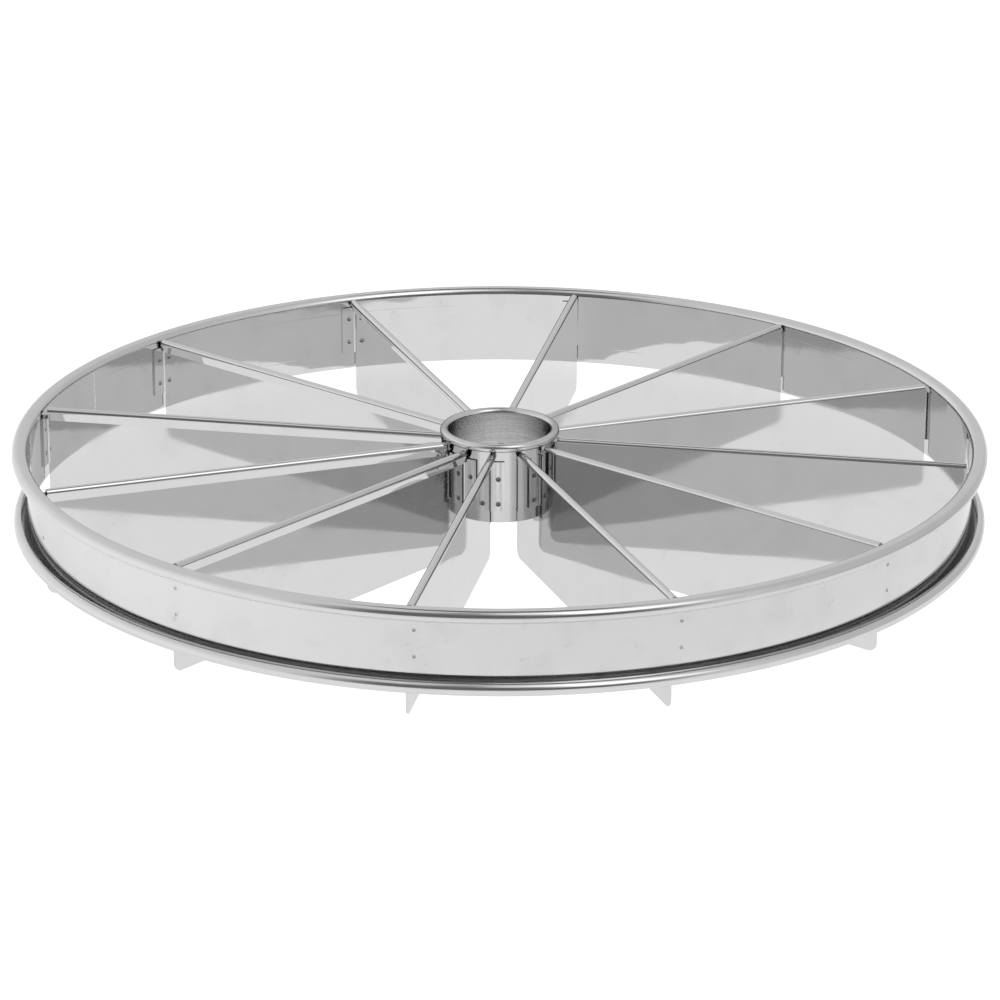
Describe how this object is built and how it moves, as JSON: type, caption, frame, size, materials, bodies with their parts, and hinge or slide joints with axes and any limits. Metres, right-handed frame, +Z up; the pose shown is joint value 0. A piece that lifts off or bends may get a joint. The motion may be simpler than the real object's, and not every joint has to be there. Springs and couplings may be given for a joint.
{
  "type": "cake portion marker",
  "caption": "Round stainless steel cake portion marker: a hoop with curled edges and evenly spaced radial blades welded to a central hub tube, pressed on a cake to mark equal slices.",
  "frame": {"origin": "centre of the bounding box's bottom, on the hub axis at the level of the blades' lower edges", "axes": "+Z up along the hub axis; +X along the first blade, blades counted anticlockwise from above"},
  "size_m": [0.2686, 0.2686, 0.033],
  "materials": {
    "hoop_steel": "polished",
    "hub_steel": "polished",
    "blade_steel": "polished",
    "weld_steel": "dull weld mark"
  },
  "bodies": {
    "root": {"hoop_band": "hoop_steel", "hoop_seam_weld": "weld_steel", "hub_tube": "hub_steel", "hoop_spot_welds": "weld_steel", "hub_spot_welds": "weld_steel", "blade_01": "blade_steel", "blade_02": "blade_steel", "blade_03": "blade_steel", "blade_04": "blade_steel", "blade_05": "blade_steel", "blade_06": "blade_steel", "blade_07": "blade_steel", "blade_08": "blade_steel", "blade_09": "blade_steel", "blade_10": "blade_steel", "blade_11": "blade_steel", "blade_12": "blade_steel"}
  },
  "joints": []
}
